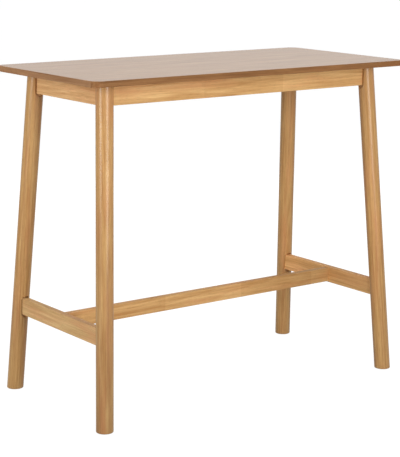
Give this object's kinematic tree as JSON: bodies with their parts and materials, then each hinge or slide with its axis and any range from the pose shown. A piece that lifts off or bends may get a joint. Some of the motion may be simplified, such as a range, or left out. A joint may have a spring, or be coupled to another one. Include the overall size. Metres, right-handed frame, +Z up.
{
  "type": "bar table",
  "caption": "Tall rectangular bar table: thin veneered top with rounded corners, splayed round wooden legs, flat aprons and an H-shaped stretcher near the floor.",
  "frame": {"origin": "on the floor, under the middle of the top", "axes": "+X along the table, +Y across it from the front to the rear, +Z up"},
  "size_m": [1.21, 0.5844, 1.05],
  "materials": {
    "top_veneer": "walnut-stained veneer under semi-gloss lacquer",
    "backing_veneer": "walnut-stained veneer, matt",
    "lipping": "walnut-stained solid wood, satin lacquer",
    "core_board": "bare fibreboard",
    "frame_wood": "honey-stained rubberwood, satin lacquer",
    "block_wood": "sawn rubberwood, thinly lacquered",
    "dowel_wood": "bare beech",
    "zinc_plated_steel": "zinc plated",
    "glide_nylon": "moulded nylon"
  },
  "bodies": {
    "root": {"apron_front": "frame_wood", "apron_left": "frame_wood", "apron_rear": "frame_wood", "apron_right": "frame_wood", "corner_block_front_left": "block_wood", "corner_block_front_right": "block_wood", "corner_block_rear_left": "block_wood", "corner_block_rear_right": "block_wood", "corner_block_screws": "zinc_plated_steel", "corner_bolts": "zinc_plated_steel", "corner_flat_washers": "zinc_plated_steel", "corner_spring_washers": "zinc_plated_steel", "glide_front_left": "glide_nylon", "glide_front_right": "glide_nylon", "glide_nails": "zinc_plated_steel", "glide_rear_left": "glide_nylon", "glide_rear_right": "glide_nylon", "leg_front_left": "frame_wood", "leg_front_right": "frame_wood", "leg_insert_nuts": "zinc_plated_steel", "leg_rear_left": "frame_wood", "leg_rear_right": "frame_wood", "stretcher_dowels": "dowel_wood", "stretcher_half_moon_washers": "zinc_plated_steel", "stretcher_hanger_bolts": "zinc_plated_steel", "stretcher_left": "frame_wood", "stretcher_long": "frame_wood", "stretcher_nuts": "zinc_plated_steel", "stretcher_right": "frame_wood", "top_backing_veneer": "backing_veneer", "top_core": "core_board", "top_corner_screws": "zinc_plated_steel", "top_lipping": "lipping", "top_pocket_screws": "zinc_plated_steel", "top_veneer": "top_veneer"}
  },
  "joints": []
}
